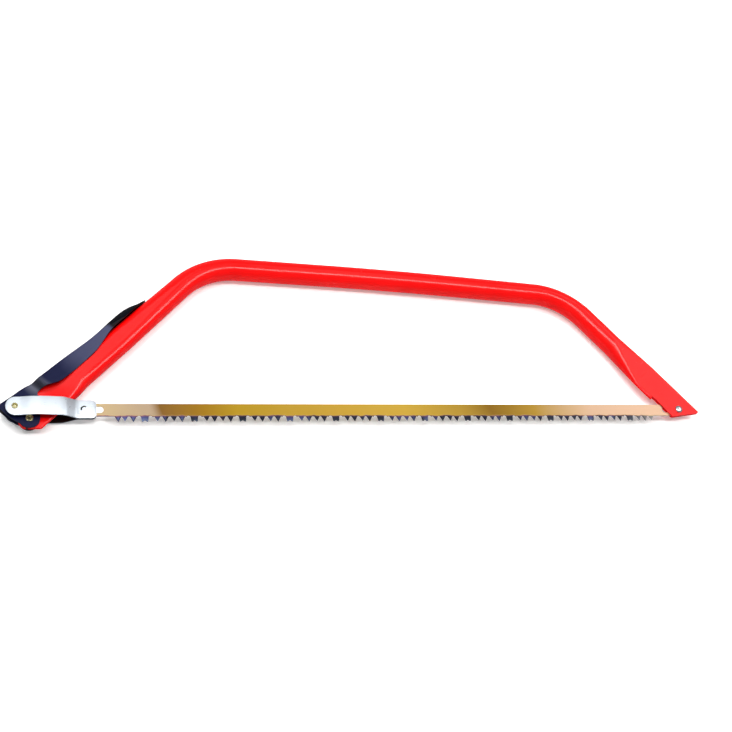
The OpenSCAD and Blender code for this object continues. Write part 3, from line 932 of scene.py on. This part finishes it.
PIVOT_HEAD, LINK_HEAD = (3.5, 1.1), (2.9, 1)
SLEEVE_R, WASHER_R = 3.6, 4.5
settle(lathe("pivot_rivet_turned", rivet_profile(PIVOT_R, EAR_HALF, *PIVOT_HEAD), (*PIVOT, 0)),
       "frame", ["pivot_rivet"], RIVET, 50)
settle(lathe("link_rivet_turned", rivet_profile(LINK_R, STRAP_HIGH + STRAP_T, *LINK_HEAD),
             (*LINK_PIN, 0)),
       "link", ["link_rivet"], RIVET, 50)
SLEEVE_HALF = EAR_HALF - LEVER_T - PLAY
settle(lathe("link_spacer_sleeve",
             rounded_ring(SLEEVE_R, LINK_R + RUNNING, -SLEEVE_HALF, SLEEVE_HALF, 0.25),
             (*LINK_PIN, 0)),
       "lever", ["link_spacer"], STEEL, 50)


def build_washers():
    """The pair of washers between the lever's sides and the straps."""
    low, high, bore = EAR_HALF + PLAY, STRAP_HIGH - PLAY, LINK_R + RUNNING
    front = lathe("link_washer_pair", rounded_ring(WASHER_R, bore, low, high, 0.3),
                  (*LINK_PIN, 0))
    rear = lathe("rear_washer", rounded_ring(WASHER_R, bore, -high, -low, 0.3), (*LINK_PIN, 0))
    both = bmesh.new()
    both.from_mesh(front.data)
    both.from_mesh(rear.data)
    both.to_mesh(front.data)
    both.free()
    bpy.data.objects.remove(rear)
    return front


settle(build_washers(), "link", ["link_washers"], ZINC, 50)

RING_R = 8
RING_Z = -FRONT_FLAT_B - 1.4
RING_DIRECTION = 80
RING_SAG = 0.26
RING_HOLE_R = 1.1


def build_front_pin():
    """A domed pin, drilled across near its tail for the ring."""
    seat, tail, dome_r, dome_h, edge = FRONT_FLAT_B + PLAY, RING_Z - 2.6, 4, 2, 0.6
    dome = [(dome_r * math.cos(a), seat + edge + dome_h * math.sin(a))
            for a in (math.radians(90 * i / 20) for i in range(21))]
    profile = [(0, tail), (PIN_R - edge, tail), (PIN_R - 0.2, tail + 0.22), (PIN_R, tail + edge),
               (PIN_R, seat), (dome_r - 0.25, seat), (dome_r, seat + 0.25), *dome[:-1],
               (0, dome[-1][1])]
    pin = lathe("front_pin_turned", profile, (*FRONT_PIN, 0))
    lying = (Matrix.Rotation(math.radians(RING_DIRECTION), 3, "Z")
             @ Matrix.Rotation(math.radians(90), 3, "X"))
    drill(pin, (*FRONT_PIN, RING_Z), RING_HOLE_R, axis=lying)
    return pin


def build_split_ring():
    """Two turns of flattened wire that change places over a short stretch."""
    turn = Matrix.Rotation(math.radians(RING_DIRECTION), 3, "Z")
    centre = Vector((*FRONT_PIN, RING_Z)) + turn @ Vector((RING_R - RING_SAG, 0, 0))
    first, last, steps = 22, 698, 220
    coil_gap, change_at, change_over = 0.34, 340, 40
    wire_wide, wire_tall, squareness = 0.62, 0.32, 0.6
    rings = []
    for k in range(steps + 1):
        angle = first + (last - first) * k / steps
        lift = (ease((angle - change_at) / change_over) * 2 - 1) * coil_gap
        out = turn @ Vector((math.cos(math.radians(angle)), math.sin(math.radians(angle)), 0))
        taper = 1 if 0 < k < steps else 0.7
        ring = []
        for i in range(16):
            a = math.tau * (i + 0.5) / 16
            wide = wire_wide * taper * math.copysign(abs(math.cos(a)) ** squareness, math.cos(a))
            tall = wire_tall * taper * math.copysign(abs(math.sin(a)) ** squareness, math.sin(a))
            ring.append(centre + out * (RING_R + wide) + Vector((0, 0, lift + tall)))
        rings.append(ring)
    return loft("split_ring_coil", rings)


settle(build_front_pin(), "frame", ["front_pin"], STEEL, 50)
settle(build_split_ring(), "frame", ["front_pin_ring"], STEEL, 50)


# ---- Floor, light and cards ----

LYING_MIDDLE = Vector(((CAD_BOX[0].x + CAD_BOX[1].x) / 2, (CAD_BOX[0].y + CAD_BOX[1].y) / 2, 0))


def card(name, width, depth, place, down=False):
    w, d = width / 2, depth / 2
    made = new_object(name, [(-w, -d, 0), (w, -d, 0), (w, d, 0), (-w, d, 0)], [(0, 1, 2, 3)])
    if down:
        made.data.flip_normals()
    made.location = place
    return made


floor = card("floor", 8, 8, LYING_MIDDLE - Vector((0, 0, 0.0004)))
paper = Look("floor_paper", Roughness=0.9, Emission_Color=(1, 0.995, 0.985, 1),
             Emission_Strength=0.24, Specular_IOR_Level=0.1)
paper.set("Base Color", paper.colours(paper.noise(3, 2), (0.3, (0.90, 0.895, 0.885)),
                                      (0.7, (0.93, 0.925, 0.92))))
floor.data.materials.append(paper.material)
floor.visible_glossy = False

CEILING = 1.2


def glow(name, stops, length, strength):
    """A card's light, graded along X."""
    look = Look(name, Base_Color=(0, 0, 0, 1), Emission_Color=(1, 1, 1, 1))
    along = look.levels(look.along("X"), 0, 1, -length / 2, length / 2)
    look.set("Emission Strength", look.math("MULTIPLY", look.colours(along, *stops), strength))
    return look.material


def sky_card(name, width, depth, place, stops, strength):
    made = card(name, width, depth, place, down=True)
    made.data.materials.append(glow(name, stops, width, strength))
    made.visible_camera = False
    made.visible_shadow = False
    return made


# What the flat, upward faces mirror: bright over both ends, dimmer and banded in the middle
sky_card("far_ceiling", 2.8, 0.9, LYING_MIDDLE + Vector((0.5, 0.64, CEILING)),
         [(0.0, 0.75), (0.30, 0.70), (0.335, 0.14), (0.36, 0.14), (0.40, 0.42), (0.52, 0.46),
          (0.555, 0.16), (0.575, 0.16), (0.62, 0.5), (0.68, 0.8), (1.0, 0.9)], 2.0)
# The narrow light straight above, which draws the bright line along the round tube
sky_card("top_strip", 2.6, 0.26, LYING_MIDDLE + Vector((0.15, -0.12, CEILING + 0.1)),
         [(0.0, 1.0), (1.0, 1.0)], 9.0)

world = bpy.data.worlds.new("studio")
world.use_nodes = True
world.node_tree.nodes["Background"].inputs["Color"].default_value = (0.94, 0.97, 1.0, 1)
world.node_tree.nodes["Background"].inputs["Strength"].default_value = 0.26
bpy.context.scene.world = world


def area_light(name, place, aim, width, depth, power):
    data = bpy.data.lights.new(name, "AREA")
    data.shape = "RECTANGLE"
    data.size, data.size_y, data.energy = width, depth, power
    lamp = bpy.data.objects.new(name, data)
    lamp.location = place
    lamp.rotation_mode = "QUATERNION"
    lamp.rotation_quaternion = (Vector(aim) - Vector(place)).to_track_quat("-Z", "Y")
    bpy.context.scene.collection.objects.link(lamp)
    return lamp


key = area_light("key", LYING_MIDDLE + Vector((-0.4, 1.0, 1.7)), LYING_MIDDLE, 1.2, 1.2, 28)
key.visible_glossy = False

bpy.context.scene.view_settings.view_transform = "Standard"
